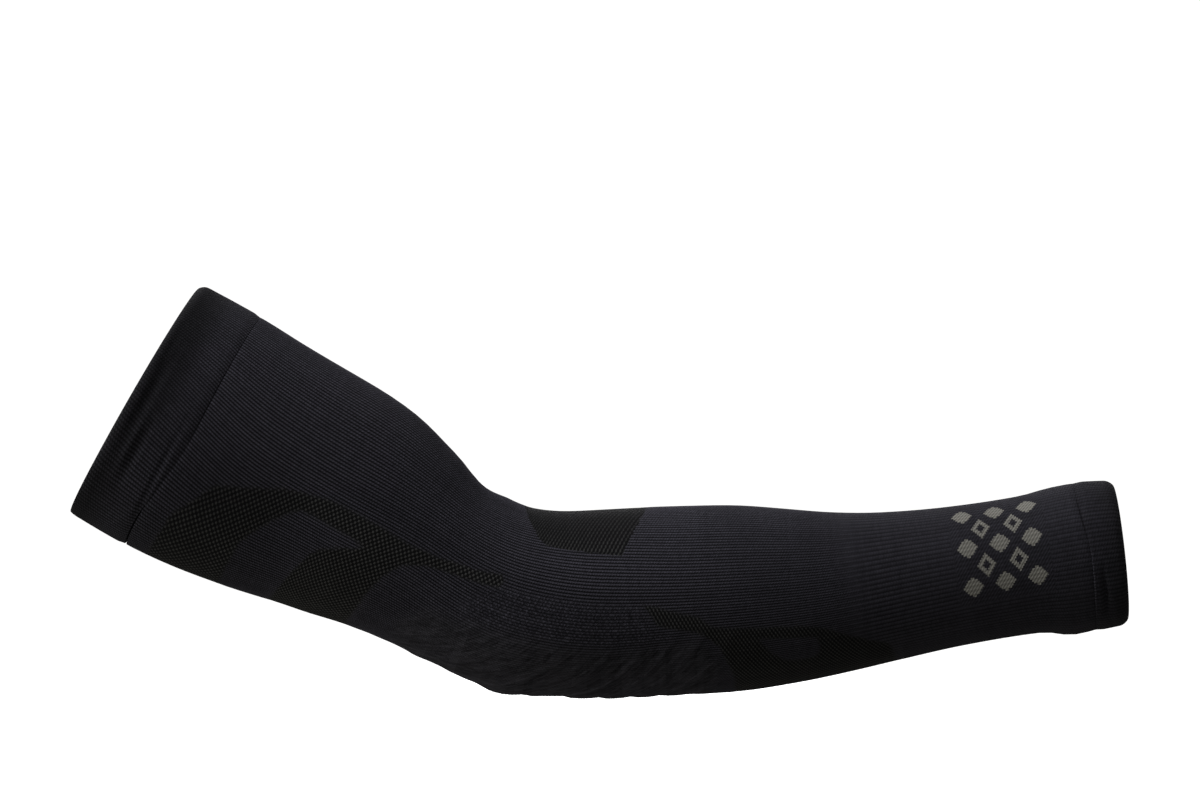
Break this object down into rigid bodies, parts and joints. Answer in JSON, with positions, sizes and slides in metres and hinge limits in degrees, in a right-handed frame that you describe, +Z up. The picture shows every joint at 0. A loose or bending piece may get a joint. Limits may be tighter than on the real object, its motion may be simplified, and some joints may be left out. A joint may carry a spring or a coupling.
{
  "type": "arm compression sleeve",
  "caption": "Knitted compression sleeve for the arm, a tapered stretch tube bent at the elbow, with a doubled band at the upper arm and at the wrist.",
  "frame": {"origin": "middle of the upper mouth, where the arm goes in", "axes": "+X from the upper mouth to the wrist, +Z up towards the inner elbow, +Y across the arm, away from the side that the picture shows"},
  "size_m": [0.4323, 0.0862, 0.1687],
  "materials": {
    "ribbed_knit": "near-black fine ribbed stretch knit, matt with a faint sheen along the ribs",
    "band_knit": "near-black doubled rib knit, matt"
  },
  "bodies": {
    "root": {"upper_arm_knit": "ribbed_knit", "above_elbow_knit": "ribbed_knit", "elbow_knit": "ribbed_knit", "forearm_knit": "ribbed_knit", "upper_band": "band_knit", "wrist_band": "band_knit"}
  },
  "joints": []
}
